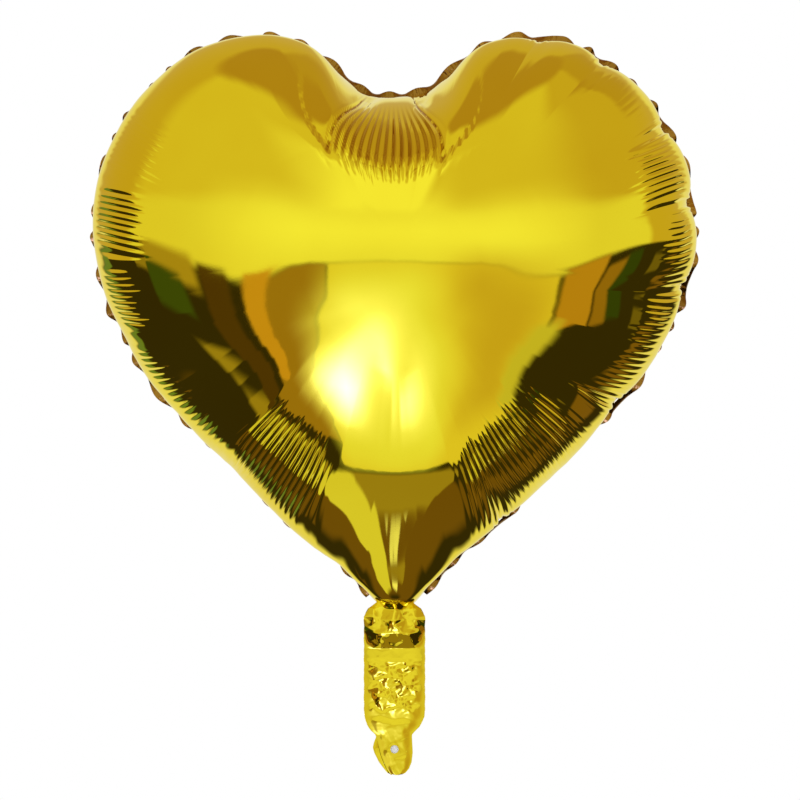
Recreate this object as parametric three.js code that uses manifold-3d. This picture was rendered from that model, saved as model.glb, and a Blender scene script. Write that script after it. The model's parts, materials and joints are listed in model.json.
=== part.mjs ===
// Heart-shaped foil balloon, 18 inch flat size, inflated, with its self-sealing valve and flat tail.
// Millimetres, +Z up, front towards -Y. The origin is the lowest point of the tail, on the
// centreline and in the seam plane.
//
// Two metallised film panels are heat-sealed round their edge. Below the heart both run on as a
// flat tail, which creases into three lengths: neck, pouch and tongue. Inside the tail lies the
// valve, a flat tube of clear film whose two lips stand up into the gas chamber.
import * as THREE from "three";
import { mergeVertices } from "three/addons/utils/BufferGeometryUtils.js";
import Module from "manifold-3d";

// ---- heart ----
const BALLOON_DEPTH = 200; // front apex to back apex
const WALL = 0.8; // panel film, drawn thicker than the real 0.03 mm
const SEAM_WIDTH = 6; // heat-sealed flange round the heart
const SEAL_THICKNESS = 0.4; // fused sealant between the two flanges
const SEAL_MARGIN = 0.5; // how far the sealant stops short of the flange's edges
const GAP = 0.3; // clearance between neighbouring solids
const NECK_EDGE_Z = 102; // lower edge of the flange, across the neck

// Right half of the flange's outer edge, from the cleft round the lobe to the neck corner.
const HALF_OUTLINE = [
  [0, 423.5],
  [15, 426],
  [45, 448],
  [86, 460.5],
  [139, 440],
  [178, 390],
  [190, 340],
  [172, 271],
  [115, 197],
  [55, 140],
  [21, NECK_EDGE_Z],
];
const APEX_HEIGHT = 318; // where both panels stand furthest from the seam plane
const GLUE_SPOT_RADIUS = 14; // flat spot at each apex
const BULGE = 0.1; // how far the panels swell past their own seam
const TIP_FLATNESS = 0.3; // share of the depth left at the heart's tip
const STATIONS = 68; // points round the outline
const RINGS = 7; // rings from seam to apex

// ---- tail ----
const TAIL_WIDTH = 38;
const NECK_FOLD_Z = 99; // the three creases, from the heart down
const POUCH_FOLD_Z = 79;
const TONGUE_FOLD_Z = 44.5;
const HINGE_CLEARANCE = 1.6; // from a crease's axis to the film on each side
const PLY = 0.5; // film of the tail
const CREASE_Y = 0.3; // inner face of a ply at a crease, measured from the seam plane
const POUCH_Y = 2.4; // inner face of a ply where the tail is puffed out
const TONGUE_Y = 1.4; // inner face of a ply of the flat tongue
const TAPER = 6; // length over which a ply runs from a crease to its full puff
const SIDE_SEAL_WIDTH = 4;
const TONGUE_WIDTH = 22;
const SKIRT_Z = 31; // middle of the shoulder where the tail steps in to the tongue
const SHOULDER = 6; // half the height of that shoulder
const FILL_HOLE_Z = 16;
const FILL_HOLE_RADIUS = 2.5;

// ---- valve ----
const VALVE_WIDTH = 20;
const VALVE_FILM = 0.4;
const VALVE_WELD = 1; // fused side edge of the valve tube
const DUCT_HEIGHT = 1.6; // outside of the flat valve tube inside the tail
const MOUTH_Z = 7; // lower end of the valve, inside the tongue
const LIP_ROOT_Z = 112; // where the lips start, inside the chamber
const LIP_LENGTH = 70;
const LIP_GAP = 0.5; // between the two closed lips

const CUTTER_REACH = 10; // how far cutting shapes run past the seam plane on each side
const DRILL_SIDES = 24;

// ---- materials ----
const goldFoil = () =>
  new THREE.MeshStandardMaterial({ color: 0xd9b514, metalness: 1, roughness: 0.12 });
const sealedFoil = () =>
  new THREE.MeshStandardMaterial({ color: 0xb98a10, metalness: 1, roughness: 0.3 });
const clearFilm = () =>
  new THREE.MeshStandardMaterial({ color: 0xdfe3df, metalness: 0, roughness: 0.35 });

// ---- solids ----
const wasm = await Module();
wasm.setup();

// A closed geometry as a manifold solid.
function solidOf(geometry) {
  const bare = geometry.clone();
  bare.deleteAttribute("normal");
  bare.deleteAttribute("uv");
  const merged = mergeVertices(bare, 1e-4);
  return new wasm.Manifold(
    new wasm.Mesh({
      numProp: 3,
      vertProperties: new Float32Array(merged.attributes.position.array),
      triVerts: new Uint32Array(merged.index.array),
    }),
  );
}

// A manifold solid back as a geometry.
function geometryOf(solid) {
  const mesh = solid.getMesh();
  return new THREE.BufferGeometry()
    .setAttribute("position", new THREE.BufferAttribute(mesh.vertProperties, 3))
    .setIndex(new THREE.BufferAttribute(mesh.triVerts, 1))
    .toNonIndexed();
}

function piece(name, geometry, material) {
  geometry.computeVertexNormals();
  const mesh = new THREE.Mesh(geometry, material);
  mesh.name = name;
  return mesh;
}

// ---- flat shapes ----

// Exact turns of a shape's own axes: its Y to Z, or its X and Y to Y and Z.
const SHAPE_TO_XZ = new THREE.Matrix4().set(1, 0, 0, 0, 0, 0, -1, 0, 0, 1, 0, 0, 0, 0, 0, 1);
const SHAPE_TO_YZ = new THREE.Matrix4().set(0, 0, 1, 0, 1, 0, 0, 0, 0, 1, 0, 0, 0, 0, 0, 1);

function extrude(shape, depth) {
  return new THREE.ExtrudeGeometry(shape, { depth, bevelEnabled: false });
}

// A shape drawn in X and Z, given thickness in Y from low to high.
function slab(shape, low, high) {
  return extrude(shape, high - low).applyMatrix4(SHAPE_TO_XZ).translate(0, high, 0);
}

// The corners of an upright rectangle, anticlockwise.
function corners(left, right, bottom, top) {
  return [
    new THREE.Vector2(left, bottom),
    new THREE.Vector2(right, bottom),
    new THREE.Vector2(right, top),
    new THREE.Vector2(left, top),
  ];
}

// ---- heart outline ----

// The whole closed outline as evenly spaced points, clockwise seen from the front, set in by inset.
function heartLoop(inset) {
  const right = HALF_OUTLINE.map(([x, z]) => new THREE.Vector2(x, z));
  const left = HALF_OUTLINE.slice(1).reverse().map(([x, z]) => new THREE.Vector2(-x, z));
  const path = new THREE.CurvePath();
  path.add(new THREE.SplineCurve(right));
  path.add(new THREE.LineCurve(right.at(-1), left[0]));
  path.add(new THREE.SplineCurve(left.concat([right[0]])));
  const points = path.getSpacedPoints(STATIONS).slice(0, STATIONS);
  return points.map((p, i) => {
    const before = points[(i + STATIONS - 1) % STATIONS];
    const after = points[(i + 1) % STATIONS];
    const along = after.clone().sub(before).normalize();
    return new THREE.Vector2(p.x + along.y * inset, p.y - along.x * inset);
  });
}

// ---- panels ----

// Share of the full depth that the dome may have at height z: it narrows towards the tip.
function depthShare(z) {
  const t = THREE.MathUtils.clamp((z - NECK_FOLD_Z) / (APEX_HEIGHT - NECK_FOLD_Z), 0, 1);
  return TIP_FLATNESS + (1 - TIP_FLATNESS) * Math.sin((t * Math.PI) / 2);
}

// One ring of a dome: loop drawn in towards the apex by angle, 0 at the seam and PI / 2 at the apex.
function domeRing(loop, angle, seamY, apexY) {
  const spread = Math.cos(angle) + BULGE * Math.sin(2 * angle);
  return loop.map((p) => {
    const x = p.x * spread;
    const z = APEX_HEIGHT + (p.y - APEX_HEIGHT) * spread;
    const y = seamY + (apexY - seamY) * Math.sin(angle) * depthShare(z);
    return [x, y, z];
  });
}

// The rim of the flat spot at an apex, one point for each point of loop.
function spotRing(loop, apexY) {
  return loop.map((p) => {
    const out = new THREE.Vector2(p.x, p.y - APEX_HEIGHT).setLength(GLUE_SPOT_RADIUS);
    return [out.x, apexY, APEX_HEIGHT + out.y];
  });
}

// All rings of one dome surface, from the seam to the flat spot.
function domeRings(loop, seamY, apexY) {
  const rings = [];
  for (let k = 0; k < RINGS; k++) {
    rings.push(domeRing(loop, ((k / RINGS) * Math.PI) / 2, seamY, apexY));
  }
  rings.push(spotRing(loop, apexY));
  return rings;
}

// A closed skin over rings of equal length, with a single point at each end.
function skin(rings, firstPoint, lastPoint) {
  const positions = rings.flat().concat([firstPoint, lastPoint]).flat();
  const first = rings.length * STATIONS;
  const last = first + 1;
  const index = [];
  for (let i = 0; i < STATIONS; i++) {
    const j = (i + 1) % STATIONS;
    index.push(first, i, j);
    for (let k = 0; k + 1 < rings.length; k++) {
      const a = k * STATIONS;
      const b = a + STATIONS;
      index.push(a + i, b + i, b + j, a + i, b + j, a + j);
    }
    const end = (rings.length - 1) * STATIONS;
    index.push(last, end + j, end + i);
  }
  return new THREE.BufferGeometry()
    .setAttribute("position", new THREE.Float32BufferAttribute(positions, 3))
    .setIndex(index);
}

// A panel: hollow dome and flat flange in one film. side is -1 for the front and +1 for the back.
function panel(name, side) {
  const edge = heartLoop(0);
  const seam = heartLoop(SEAM_WIDTH);
  const inside = heartLoop(SEAM_WIDTH + WALL);
  const near = side * (SEAL_THICKNESS / 2 + GAP);
  const far = near + side * WALL;
  const apex = (side * BALLOON_DEPTH) / 2;
  const innerApex = apex - side * WALL;
  const flange = (y) => edge.map((p) => [p.x, y, p.y]);
  const rings = [
    ...domeRings(inside, near, innerApex).reverse(),
    flange(near),
    flange(far),
    ...domeRings(seam, far, apex),
  ];
  if (side > 0) rings.forEach((ring) => ring.reverse());
  const geometry = skin(rings, [0, innerApex, APEX_HEIGHT], [0, apex, APEX_HEIGHT]);
  return piece(name, geometry, goldFoil());
}

// The fused band between the flanges, open at the neck where the valve passes.
function perimeterSeal() {
  const outline = new THREE.Shape(heartLoop(SEAL_MARGIN));
  outline.holes.push(new THREE.Path(heartLoop(SEAM_WIDTH - SEAL_MARGIN).reverse()));
  const band = solidOf(slab(outline, -SEAL_THICKNESS / 2, SEAL_THICKNESS / 2));
  const half = VALVE_WIDTH / 2 + VALVE_WELD;
  const opening = corners(-half, half, NECK_FOLD_Z, NECK_EDGE_Z + 2 * SEAM_WIDTH);
  const cutter = solidOf(slab(new THREE.Shape(opening), -CUTTER_REACH, CUTTER_REACH));
  return piece("perimeter_seal", geometryOf(band.subtract(cutter)), sealedFoil());
}

// ---- tail ----

// A ply of the tail: its inner face runs through path, points of distance from the seam plane and
// height, and its film lies outside that.
function ply(side, path) {
  const inner = path.map(([y, z]) => new THREE.Vector2(side * y, z));
  const outer = path.map(([y, z]) => new THREE.Vector2(side * (y + PLY), z)).reverse();
  const shape = new THREE.Shape(inner.concat(outer));
  return extrude(shape, TAIL_WIDTH).applyMatrix4(SHAPE_TO_YZ).translate(-TAIL_WIDTH / 2, 0, 0);
}

// The fused strip down one side of the tail, filling the space between plies that stand puff
// from the seam plane. edge is -1 for the left and +1 for the right.
function sideSeal(edge, bottom, top, puff) {
  const rim = (edge * TAIL_WIDTH) / 2;
  const inward = rim - edge * SIDE_SEAL_WIDTH;
  const strip = corners(Math.min(rim, inward), Math.max(rim, inward), bottom, top);
  return slab(new THREE.Shape(strip), GAP - puff, puff - GAP);
}

// The flat valve tube inside a length of tail, open at both ends.
function valveTube(bottom, top) {
  const rim = VALVE_WIDTH / 2;
  const half = DUCT_HEIGHT / 2;
  const section = new THREE.Shape(corners(-rim, rim, -half, half));
  const bore = corners(VALVE_WELD - rim, rim - VALVE_WELD, VALVE_FILM - half, half - VALVE_FILM);
  section.holes.push(new THREE.Path(bore.reverse()));
  return extrude(section, top - bottom).translate(0, 0, bottom);
}

// One length of tail between two creases: two plies, two side seals and the valve tube.
function tailLength(prefix, lowerFoldZ, upperFoldZ) {
  const bottom = lowerFoldZ + HINGE_CLEARANCE;
  const top = upperFoldZ - HINGE_CLEARANCE;
  const low = bottom + TAPER;
  const high = top - TAPER;
  const path = [
    [CREASE_Y, bottom],
    [POUCH_Y, low],
    [POUCH_Y, high],
    [CREASE_Y, top],
  ];
  return [
    piece(`${prefix}_front_ply`, ply(-1, path), goldFoil()),
    piece(`${prefix}_back_ply`, ply(1, path), goldFoil()),
    piece(`${prefix}_seal_left`, sideSeal(-1, low, high, POUCH_Y), sealedFoil()),
    piece(`${prefix}_seal_right`, sideSeal(1, low, high, POUCH_Y), sealedFoil()),
    piece(`${prefix}_valve_tube`, valveTube(low, high), clearFilm()),
  ];
}

// The tail's last length seen from the front: a skirt as wide as the tail, stepping in to a
// round-ended tongue.
function tongueOutline(top) {
  const skirt = TAIL_WIDTH / 2;
  const tongue = TONGUE_WIDTH / 2;
  const high = SKIRT_Z + SHOULDER;
  const low = SKIRT_Z - SHOULDER;
  const shape = new THREE.Shape();
  shape.moveTo(-skirt, top);
  shape.lineTo(-skirt, high);
  shape.bezierCurveTo(-skirt, SKIRT_Z, -tongue, SKIRT_Z, -tongue, low);
  shape.lineTo(-tongue, tongue);
  shape.absarc(0, tongue, tongue, Math.PI, 2 * Math.PI, false);
  shape.lineTo(tongue, low);
  shape.bezierCurveTo(tongue, SKIRT_Z, skirt, SKIRT_Z, skirt, high);
  shape.lineTo(skirt, top);
  return shape;
}

// The last length: plies, side seals and valve mouth, all cut to the tongue's outline and
// drilled for the filling nozzle.
function tonguePieces() {
  const top = TONGUE_FOLD_Z - HINGE_CLEARANCE;
  const high = top - TAPER;
  const path = [
    [TONGUE_Y, 0],
    [TONGUE_Y, high],
    [CREASE_Y, top],
  ];
  const outline = solidOf(slab(tongueOutline(top), -CUTTER_REACH, CUTTER_REACH));
  const drill = solidOf(
    new THREE.CylinderGeometry(FILL_HOLE_RADIUS, FILL_HOLE_RADIUS, 2 * CUTTER_REACH, DRILL_SIDES)
      .translate(0, 0, FILL_HOLE_Z),
  );
  const cut = (geometry) => geometryOf(solidOf(geometry).intersect(outline).subtract(drill));
  return [
    piece("tongue_front_ply", cut(ply(-1, path)), goldFoil()),
    piece("tongue_back_ply", cut(ply(1, path)), goldFoil()),
    piece("tongue_seal_left", cut(sideSeal(-1, 0, high, TONGUE_Y)), sealedFoil()),
    piece("tongue_seal_right", cut(sideSeal(1, 0, high, TONGUE_Y)), sealedFoil()),
    piece("valve_mouth", cut(valveTube(MOUTH_Z, high)), clearFilm()),
  ];
}

// ---- valve lips ----

// One lip of the valve, standing up into the chamber from its root.
function valveLip(name, side) {
  const near = (side * LIP_GAP) / 2;
  const far = near + side * VALVE_FILM;
  const half = VALVE_WIDTH / 2;
  const shape = new THREE.Shape(corners(-half, half, LIP_ROOT_Z, LIP_ROOT_Z + LIP_LENGTH));
  return piece(name, slab(shape, Math.min(near, far), Math.max(near, far)), clearFilm());
}

// ---- assembly ----
const balloon = new THREE.Group();
balloon.add(
  panel("front_panel", -1),
  panel("back_panel", 1),
  perimeterSeal(),
  valveLip("valve_front_lip", -1),
  valveLip("valve_back_lip", 1),
  ...tailLength("neck", POUCH_FOLD_Z, NECK_FOLD_Z),
  ...tailLength("pouch", TONGUE_FOLD_Z, POUCH_FOLD_Z),
  ...tonguePieces(),
);

export default balloon;
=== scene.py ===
"""Heart-shaped foil balloon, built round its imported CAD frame.

The two foil panels are cut flat, sewn and inflated by cloth simulation, then laid out on an even
grid and wrinkled by formula. Flange, tail and valve are mesh code. Lengths are in millimetres
until a mesh is made.
"""
import json
import math
from collections import namedtuple

import bpy
import numpy as np
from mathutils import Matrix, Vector
from mathutils.bvhtree import BVHTree
from mathutils.geometry import delaunay_2d_cdt


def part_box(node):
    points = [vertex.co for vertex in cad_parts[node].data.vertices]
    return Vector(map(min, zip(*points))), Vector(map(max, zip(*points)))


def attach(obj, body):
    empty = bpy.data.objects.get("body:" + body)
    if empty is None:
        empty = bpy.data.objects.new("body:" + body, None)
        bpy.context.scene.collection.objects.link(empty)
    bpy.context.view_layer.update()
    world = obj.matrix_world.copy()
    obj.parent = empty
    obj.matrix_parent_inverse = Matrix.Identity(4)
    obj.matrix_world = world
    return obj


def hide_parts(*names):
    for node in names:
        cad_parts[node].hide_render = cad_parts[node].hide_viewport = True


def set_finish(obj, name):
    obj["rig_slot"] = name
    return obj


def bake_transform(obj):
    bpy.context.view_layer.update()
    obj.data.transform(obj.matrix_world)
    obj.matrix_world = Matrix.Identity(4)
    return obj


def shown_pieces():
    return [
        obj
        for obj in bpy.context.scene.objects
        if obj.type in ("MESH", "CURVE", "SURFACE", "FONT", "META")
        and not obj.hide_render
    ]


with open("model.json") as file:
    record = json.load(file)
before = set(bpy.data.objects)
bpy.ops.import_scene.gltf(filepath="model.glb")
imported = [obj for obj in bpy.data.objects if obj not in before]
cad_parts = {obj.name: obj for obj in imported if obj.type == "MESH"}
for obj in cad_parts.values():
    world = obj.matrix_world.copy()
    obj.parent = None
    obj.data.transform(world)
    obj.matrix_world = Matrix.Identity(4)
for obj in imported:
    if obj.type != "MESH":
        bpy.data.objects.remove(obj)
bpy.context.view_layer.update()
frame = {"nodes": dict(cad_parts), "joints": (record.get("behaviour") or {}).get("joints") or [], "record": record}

MM = 0.001


# ---- places taken from the frame ----


def box_mm(*nodes):
    """Lowest and highest corner of some CAD nodes together, in millimetres."""
    corners = [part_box(node) for node in nodes]
    low = np.min([low for low, _ in corners], axis=0)
    high = np.max([high for _, high in corners], axis=0)
    return np.array(low) / MM, np.array(high) / MM


def joint_z(name):
    """Height of a joint's axis, in millimetres."""
    return next(j["pos_m"][2] for j in frame["joints"] if j["name"] == name) / MM


HEART_LOW, HEART_HIGH = box_mm("front_panel", "back_panel")
HALF_DEPTH = (HEART_HIGH[1] - HEART_LOW[1]) / 2
APEX_Z = frame["record"]["mounts"][2]["pos_m"][2] / MM
NECK_Z = joint_z("neck_fold")
POUCH_Z = joint_z("pouch_fold")
TONGUE_Z = joint_z("tongue_fold")
TAIL_LOW, TAIL_HIGH = box_mm("neck_front_ply", "tongue_back_ply", "neck_seal_left", "neck_seal_right")
TAIL_HALF = (TAIL_HIGH[0] - TAIL_LOW[0]) / 2

# ---- flat pattern of the heart ----

# Right half of the seam line of the flat, empty heart, from the cleft to the neck. X is across,
# and Z is measured from the point that becomes the apex.
FLAT_HALF = [
    (0, 186), (16, 186), (34, 191), (61, 199), (98, 201), (146, 187), (192, 149), (219, 97), (228, 40),
    (219, -15), (196, -64), (168, -105), (103, -165), (56, -199), (26, -219), (8, -229),
]
CURVE_STEPS = 40  # points of the smooth seam line between two of these
FLANGE_WIDTH = 6.0
SEAM_STEP = 3.4  # spacing of the simulated mesh along the seam
# The mesh is coarser further from the seam: (spacing over that at the seam, out to this distance).
BANDS = ((1.0, 45.0), (1.5, 70.0), (2.2, math.inf))
SEAM_CLEARANCE = 0.7  # no mesh point is nearer the seam than this share of a step
JITTER = 0.22  # mesh points are scattered by this share of a step

# ---- cloth ----

SIM_SCALE = 0.01  # the cloth is simulated at ten times its size, where the solver is steady
SIM_FRAMES = 36
SHEET_GAP = 0.5  # the empty sheets start this far from the plane of the seam
SEAM_WAVE = 40.0  # length of the faint wave that the flange starts with
SEAM_WAVE_HEIGHT = 0.6
CLOTH_SETTINGS = {
    "quality": 6, "mass": 0.1, "air_damping": 1.2,
    "tension_stiffness": 40.0, "compression_stiffness": 40.0, "shear_stiffness": 40.0,
    "bending_stiffness": 0.01, "bending_stiffness_max": 0.5, "bending_damping": 0.5,
    "use_pressure": True, "uniform_pressure_force": 20.0,
}

# ---- final grid ----

# Rings of points from the seam inwards, as (every nth station, step as a share of the way in, rings).
OUTER_RINGS = ((1, 0.0135, 43), (2, 0.024, 8), (4, 0.036, 5), (8, 0.03, 1))
INNER_RINGS = ((2, 0.008, 1), (4, 0.012, 1), (4, 0.06, 14), (8, 0.06, 1))
WALL = 1.1  # the drawn thickness of a panel
STATION_STEP = 1.25
CREASE_STEP = 0.55  # stations stand closer together beside a crease
CREASE_ZONE = 9.6
FINE_ZONE = (-26, 25)  # and, for the pleats, between these degrees round from the cleft
SEAM_POINTS = 24000  # the stations are picked from this many points of the seam line
RIM_SMOOTHING = 15.0  # reach of the smoothing along the rim
SMOOTHING_GROWTH = 2.5  # by this share more at the centre
CLEFT_SMOOTHING = 6.0  # the same at the cleft and the neck
CALM_DEGREE = 9  # of the polynomial that takes over between these shares of the way in
CALM_START, CALM_END = 0.14, 0.42

# ---- fit to the CAD heart ----

OUTLINE_BINS = 72  # directions in which the outlines are compared
RIM_INSET = 6.5  # the seam is drawn in this far behind the outline of the inflated rim
# The same inset by degrees round from the cleft: the inflated foil ends in a point over the neck.
NECK_TAPER = ((0, 168, 175, 180), (RIM_INSET, RIM_INSET, 11.0, -8.0))
WARP_ZONE = (0.3, 0.95)  # the warp to the outline grows between these shares of the way out
NECK_HALF = 12.0
HEART_FOOT = NECK_Z + 2  # lowest place of the inflated foil at the neck
NECK_SLIM = 0.2  # the heart is this much shallower over the neck, so that the folded tail clears it
NECK_SLIM_ZONE = (125.0, 190.0)

# ---- bays, pinches and washboards ----

# Where the rim is pinched: degrees round the heart from the cleft, and how far in the crease runs.
CREASES = (
    (-160, 95), (-134, 95), (-101.2, 95), (-84.9, 80), (-69.5, 80), (-54.9, 60), (-41.3, 30), (-29.8, 30),
    (-7.9, 30), (5.2, 30), (30.6, 30), (43, 36), (60, 75), (74.3, 65), (91.4, 65), (118.6, 85), (154.6, 95),
)
CLEFT_ZONE = (11, 22)  # the bays start between these degrees to either side of the cleft
BAY_HEIGHT = 0.05  # bulge of a bay as a share of its length
BAY_LONGEST = 60.0  # a longer bay bulges no further than one of this length
BAY_ARCH = 2.4  # power of the curve across a bay
BAY_DIP = 0.35  # share of its height by which it lies lower than the curve
BAY_RISE = 16.0  # a bay has its full height this far in from the seam
BAY_REACH = 105.0
OVERHANG = 4.6  # the foil bulges out past the seam by this much
OVERHANG_RISE = 24.0
OVERHANG_FADE = (60, 170)
PINCH_DEPTH = 2.8
PINCH_WIDTH = 2.2
PINCH_RIPPLE = 2.9  # length of the fine ripples that run along beside a crease
PINCH_RIPPLE_HEIGHT = 0.8
PINCH_RIPPLE_ZONE = 8.4
WASHBOARD_LENGTH = 6.0
WASHBOARD_HEIGHT = 0.42
WASHBOARD_RISE = (26, 42)  # the wrinkles set in between these distances from the seam
# Fine wrinkles, as (degrees from the cleft, half width, reach in from the rim, strength).
WASHBOARDS = (
    (-147, 13, 100, 1.0), (-117.6, 16, 54, 0.8), (-93, 8, 66, 0.8), (-77, 7.5, 74, 1.2), (-62, 7, 80, 0.6),
    (51.5, 8, 60, 0.2), (67, 7, 80, 1.0), (83, 8.5, 62, 0.8), (105, 13, 66, 0.7), (143, 18, 100, 1.0),
)

# ---- cleft pillow ----

# Pleats fan out from a centre above the cleft, in degrees from straight down and mm from it.
CLEFT_Z = 423.5
FAN_RISE = 22.0
FAN_EDGES = (-31.5, 22.2)
FAN_BOW = 5.0  # its sides bow out by this many degrees half way down
FAN_TOP, FAN_BOTTOM = 33.0, 80.0
PLEATS = 14
PLEAT_HEIGHT = 0.75
PLEAT_RISE = 19.0  # the pleats have their full height this far below the top of the pillow
PLEAT_TIPS = 1.1  # the pillow's lower edge steps up and down by this much from pleat to pleat
PILLOW_CORNERS = 4.0  # and the pillow this much higher at its sides than in its middle
PILLOW_HEIGHT = 7.0
PILLOW_GROOVE = 2.2
PILLOW_GROOVE_WIDTH = 1.4
APRON_SHARE = 0.47  # height of the foil just below the pillow's edge, as a share of the pillow's
APRON_SPREAD = 3.2  # half width of that foil, in half widths of the pillow
APRON = 115.0  # it fades out over this distance

# ---- flange ----

NECK_ANGLE = 174.0  # the tail takes over from the flange this far round from the cleft
FLANGE_WAVE = 26.0  # length of a scallop
FLANGE_WAVE_HEIGHT = 2.2
FLANGE_LEAN = 0.35  # the edge stands back by this share of its reach
FLANGE_TUCK = 0.45  # share by which it is tucked in along the sides of the point
FLANGE_ROOT = 0.8  # it starts this far inside the seam
FLANGE_ROWS = 7
FLANGE_CRIMP = 2.6  # length of the crimps that the sealing bar leaves
FLANGE_CRIMP_HEIGHT = 0.14
FLANGE_THICKNESS = 0.3

# ---- tail ----

TAIL_TOP = NECK_Z + 8
TAIL_END = 0.1
NECK_CUT = (NECK_Z + POUCH_Z) / 2  # where one length of film ends and the next begins
POUCH_CUT = (POUCH_Z + TONGUE_Z) / 2
SKIRT_Z = 31.0  # where the tail narrows to the tongue
# Half thickness of the tail at each height: a flat end, the pouch, a pinch and a gathered neck.
TAIL_PROFILE = (
    (0, 0.5), (24, 0.7), (32, 1.1), (36, 0.8), (40, 1.1), (52, 1.3), (64, 1.3), (70.5, 1.2),
    (72, 0.9), (78.4, 0.6), (79, 1.1), (88, 5.4), (96, 4.6), (107, 2.4),
)
# The tail's corners are folded in where it leaves the heart, as heights and places across.
NECK_RIGHT = ((98, 19), (103, 16.5), (107, 11))
NECK_LEFT = tuple((z, -x) for z, x in NECK_RIGHT)
# Left and right edges of the front (-1) and the back (1) ply, as heights and places across.
PLY_EDGES = {
    -1: (
        ((0, 1), (0.5, -1.6), (1.5, -3.2), (4, -5), (12, -8.3), (22, -10.9), (25, -11.8), (26, -12.8),
         (27.5, -14.6), (30, -16.3), (34, -18), (40, -19), *NECK_LEFT),
        ((0, 2), (0.5, 5), (1.5, 6.8), (4, 9), (8, 10.6), (14, 11.3), (24, 10.8), (26.5, 11.2), (27.5, 12.4),
         (29.5, 14.6), (32, 16.6), (36, 18.4), (40, 19), *NECK_RIGHT),
    ),
    1: (
        ((0.6, -2.5), (1.2, -4.2), (3, -5.8), (8, -9.6), (14, -12.6), (17, -13.4), (20, -12.8), (24, -11.2),
         (26, -11.6), (28, -15), (31, -17), (36, -18.6), (40, -19), *NECK_LEFT),
        ((0.6, -1.5), (1.2, 1.5), (4, 6.2), (9, 9.2), (18, 10.6), (25, 10.9), (27, 12.6), (30, 15.6),
         (34, 17.9), (40, 19), *NECK_RIGHT),
    ),
}
# Flat facets of the crumpled film, as (height, direction in radians, length, shift).
CRUMPLE = (
    (1.1, 1.05, 14, 0.2), (0.7, 2.2, 9.5, 0.65), (0.5, 0.25, 7.3, 0.4), (0.3, 1.7, 5.1, 0.15),
    (0.16, 2.8, 3.7, 0.8),
)
BACK_SHIFT = (7, 31)  # the back ply is crumpled as the front is this far off, across and up
POUCH_ZONE = ((37, 43), (67, 71))  # the pouch is loose between these heights
POUCH_EDGE = (12, 18)
GATHER_ZONE = (86, 97)
GATHER_LENGTH = 15.5
FILL_HOLE = (0.0, 16.0)
FILL_HOLE_RADIUS = 2.5
FILM_STEP = 0.5
FILM = 0.1
SIDE_SEAL = 4.0
SEAL_OVERLAP = 1.006  # the side seal ends just outside the plies
SEAL_COLUMNS = 9
SEAL_THICKNESS = 0.25
SEAL_RIB = 1.6
SEAL_RIB_HEIGHT = 0.1
VALVE_END = 7.0
VALVE_HALF = (6.5, 9.8)  # half width at the end of the tongue and above it
VALVE_DEPTH = (0.12, 0.7)  # half depth in the tongue and above it
VALVE_POINTS = 40
VALVE_FILM = 0.06

SHARP_ANGLE = 75  # degrees between two faces from which their edge is drawn sharp


# ---- curves ----


def bump(value, centre, half_width):
    """1 at centre, falling smoothly to 0 at half_width to either side."""
    t = np.clip(np.abs(value - centre) / half_width, 0, 1)
    return (1 - t * t) ** 2


def rise(value, start, end):
    """0 up to start and 1 from end on, smooth between them."""
    t = np.clip((value - start) / (end - start), 0, 1)
    return t * t * (3 - 2 * t)


def shingled(turns):
    """A wave from -1 to 1 that climbs steeply and falls slowly, like a row of lapped pleats."""
    return sum(np.sin(2 * np.pi * k * turns) / k for k in (1, 2, 3)) / 1.4


def fold(x, z, turn, length, shift):
    """A triangle wave from 0 to 1 across direction turn: the flat facets of a folded film."""
    t = (x * math.cos(turn) + z * math.sin(turn)) / length + shift
    return np.abs(t % 1 - 0.5) * 2


def catmull_rom(points, steps):
    """A smooth curve through points, with both ends kept."""
    p = np.vstack([points[:1], points, points[-1:]]).astype(float)
    t = np.linspace(0, 1, steps, endpoint=False)[:, None]
    spans = []
    for a, b, c, d in zip(p, p[1:], p[2:], p[3:]):
        bend = (2 * a - 5 * b + 4 * c - d) * t**2 + (3 * b - a - 3 * c + d) * t**3
        spans.append(b + 0.5 * ((c - a) * t + bend))
    return np.vstack(spans + [p[-1:]])


def even_loop(loop, count):
    """count evenly spaced points round a closed loop, and the loop's length."""
    closed = np.vstack([loop, loop[:1]])
    run = np.r_[0, np.cumsum(np.linalg.norm(np.diff(closed, axis=0), axis=1))]
    along = np.linspace(0, run[-1], count, endpoint=False)
    return np.column_stack([np.interp(along, run, closed[:, k]) for k in range(2)]), run[-1]


def loop_directions(loop):
    """Unit vectors along a closed loop at each of its points."""
    along = np.roll(loop, -1, axis=0) - np.roll(loop, 1, axis=0)
    return along / np.linalg.norm(along, axis=1)[:, None]


def outward(loop):
    """Unit normals of a flat closed loop, pointing away from its middle."""
    along = loop_directions(loop)
    normal = np.column_stack([along[:, 1], -along[:, 0]])
    return normal if ((loop - loop.mean(0)) * normal).sum() > 0 else -normal


def inside_and_distance(points, loop):
    """Whether each point lies in the loop, and how far from it."""
    x, z = points.T
    inside = np.zeros(len(points), bool)
    distance = np.full(len(points), np.inf)
    for (ax, az), (bx, bz) in zip(loop, np.roll(loop, -1, axis=0)):
        ex, ez = bx - ax, bz - az
        if ez:
            inside ^= ((az > z) != (bz > z)) & (x < ex * (z - az) / ez + ax)
        t = np.clip(((x - ax) * ex + (z - az) * ez) / (ex * ex + ez * ez), 0, 1)
        distance = np.minimum(distance, np.hypot(x - ax - t * ex, z - az - t * ez))
    return inside, distance


def cross(a, b):
    """The cross product of each pair of flat vectors."""
    return a[:, 0] * b[:, 1] - a[:, 1] * b[:, 0]


# ---- meshes ----


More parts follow.
